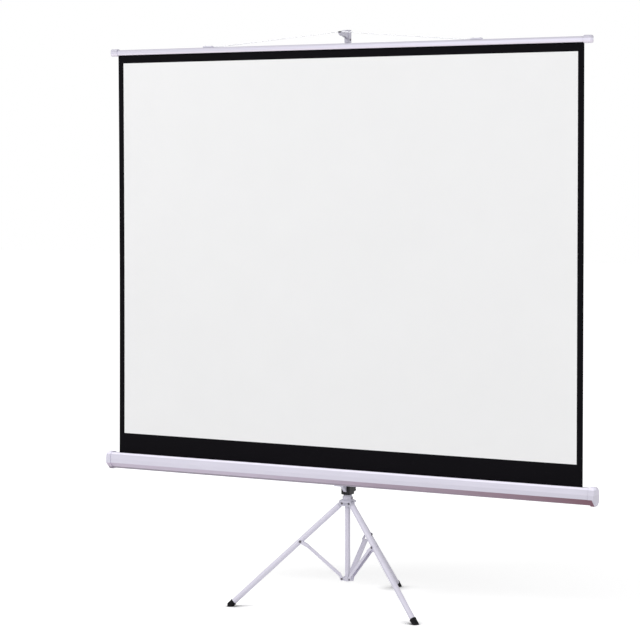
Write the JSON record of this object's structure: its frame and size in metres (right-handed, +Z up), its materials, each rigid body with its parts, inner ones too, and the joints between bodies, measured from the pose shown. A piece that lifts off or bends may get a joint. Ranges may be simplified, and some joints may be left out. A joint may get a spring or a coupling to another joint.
{
  "type": "portable tripod projection screen",
  "caption": "Portable projection screen: a roller case low on a folding tripod, its black-bordered fabric pulled up and hung by a wire bail from a hook on a telescopic mast.",
  "frame": {"origin": "on the floor, under the mast's axis", "axes": "+Z up the mast, the screen's face towards -Y, +X to the right of a person who looks at the screen's face"},
  "size_m": [2.188, 0.7415, 2.261],
  "materials": {
    "paint": "satin",
    "light_plastic": "satin",
    "dark_plastic": "satin",
    "steel": "satin",
    "rubber": "matte",
    "roller_metal": "satin",
    "fabric": "matte"
  },
  "bodies": {
    "mast": {"mast_tube": "paint", "leg_hub": "light_plastic", "leg_hub_pins": "steel", "leg_hub_screws": "steel", "mast_collar": "light_plastic"},
    "post": {"center_post": "paint", "post_guide_bush": "dark_plastic", "brace_hub": "light_plastic", "brace_hub_pins": "steel"},
    "extension": {"extension_tube": "paint", "extension_guide_bush": "dark_plastic", "hook_head": "light_plastic", "hook_screws": "steel"},
    "extension_knob": {"extension_knob": "dark_plastic", "extension_stud": "steel"},
    "bar": {"top_bar": "paint", "bar_cap_left": "light_plastic", "bar_cap_right": "light_plastic", "hem_rod": "steel", "bail_wire": "steel", "bail_clips": "light_plastic", "bail_clip_rivets": "steel", "screen_fabric": "fabric"},
    "case": {"case_shell": "paint", "end_cap_left": "light_plastic", "end_cap_right": "light_plastic", "end_cap_screws": "steel", "roller_bracket_left": "steel", "roller_bracket_right": "steel", "spring_spindle": "steel", "torsion_spring": "steel", "case_saddle": "steel", "saddle_rivets": "steel", "pivot_bolt": "steel", "pivot_nut": "steel", "carrier_sleeve": "dark_plastic", "case_cradle": "light_plastic"},
    "roller": {"roller_tube": "roller_metal", "roller_plug_left": "dark_plastic", "roller_plug_right": "dark_plastic", "spindle_bush": "dark_plastic", "wound_fabric": "fabric"},
    "case_knob": {"case_knob": "dark_plastic", "case_stud": "steel"},
    "rear_leg": {"rear_leg_tube": "paint", "rear_leg_knuckle": "light_plastic", "rear_leg_foot": "rubber", "rear_brace_rivet": "steel"},
    "rear_brace": {"rear_brace": "paint"},
    "front_left_leg": {"front_left_leg_tube": "paint", "front_left_leg_knuckle": "light_plastic", "front_left_leg_foot": "rubber", "front_left_brace_rivet": "steel"},
    "front_left_brace": {"front_left_brace": "paint"},
    "front_right_leg": {"front_right_leg_tube": "paint", "front_right_leg_knuckle": "light_plastic", "front_right_leg_foot": "rubber", "front_right_brace_rivet": "steel"},
    "front_right_brace": {"front_right_brace": "paint"}
  },
  "joints": [
    {"name": "rear_leg_fold", "type": "hinge", "parent": "mast", "child": "rear_leg", "pos_m": [-0.00126, 0.02397, 0.404], "axis": [-0.9986, -0.0523, 0], "range_deg": [0, 38]},
    {"name": "front_left_leg_fold", "type": "hinge", "parent": "mast", "child": "front_left_leg", "pos_m": [-0.02013, -0.01307, 0.404], "axis": [0.5446, -0.8387, 0], "range_deg": [0, 38]},
    {"name": "front_right_leg_fold", "type": "hinge", "parent": "mast", "child": "front_right_leg", "pos_m": [0.02138, -0.0109, 0.404], "axis": [0.454, 0.891, 0], "range_deg": [0, 38]},
    {"name": "rear_brace_swing", "type": "hinge", "parent": "rear_leg", "child": "rear_brace", "pos_m": [-0.00985, 0.18794, 0.25459], "axis": [-0.9986, -0.0523, 0], "range_deg": [-76, 0]},
    {"name": "front_left_brace_swing", "type": "hinge", "parent": "front_left_leg", "child": "front_left_brace", "pos_m": [-0.15784, -0.1025, 0.25459], "axis": [0.5446, -0.8387, 0], "range_deg": [-76, 0]},
    {"name": "front_right_brace_swing", "type": "hinge", "parent": "front_right_leg", "child": "front_right_brace", "pos_m": [0.16769, -0.08544, 0.25459], "axis": [0.454, 0.891, 0], "range_deg": [-76, 0]},
    {"name": "post_level", "type": "hinge", "parent": "rear_brace", "child": "post", "pos_m": [-0.00126, 0.02397, 0.10519], "axis": [-0.9986, -0.0523, 0], "range_deg": [0, 38]},
    {"name": "mast_extension", "type": "slide", "parent": "mast", "child": "extension", "axis": [0, 0, 1], "range_m": [-0.6, 0]},
    {"name": "extension_knob_turn", "type": "hinge", "parent": "mast", "child": "extension_knob", "pos_m": [0, 0.03, 1.417], "axis": [0, 1, 0], "range_deg": [0, 180]},
    {"name": "screen_retract", "type": "slide", "parent": "extension", "child": "bar", "axis": [0, 0, 1], "range_m": [-0.62, 0], "deforming": ["screen_fabric"]},
    {"name": "case_height", "type": "slide", "parent": "mast", "child": "case", "axis": [0, 0, 1], "range_m": [0, 0.36]},
    {"name": "roller_spin", "type": "hinge", "parent": "case", "child": "roller", "pos_m": [0, -0.075, 0.513], "axis": [1, 0, 0], "range_deg": [0, 2200]},
    {"name": "case_knob_turn", "type": "hinge", "parent": "case", "child": "case_knob", "pos_m": [0, 0.03, 0.458], "axis": [0, 1, 0], "range_deg": [0, 180]}
  ],
  "couplings": [
    {"joint": "front_left_leg_fold", "follows": "rear_leg_fold", "ratio": 1},
    {"joint": "front_right_leg_fold", "follows": "rear_leg_fold", "ratio": 1},
    {"joint": "rear_brace_swing", "follows": "rear_leg_fold", "ratio": -2},
    {"joint": "front_left_brace_swing", "follows": "rear_leg_fold", "ratio": -2},
    {"joint": "front_right_brace_swing", "follows": "rear_leg_fold", "ratio": -2},
    {"joint": "post_level", "follows": "rear_leg_fold", "ratio": 1},
    {"joint": "roller_spin", "follows": "screen_retract", "rad_per_m": -61.538}
  ]
}
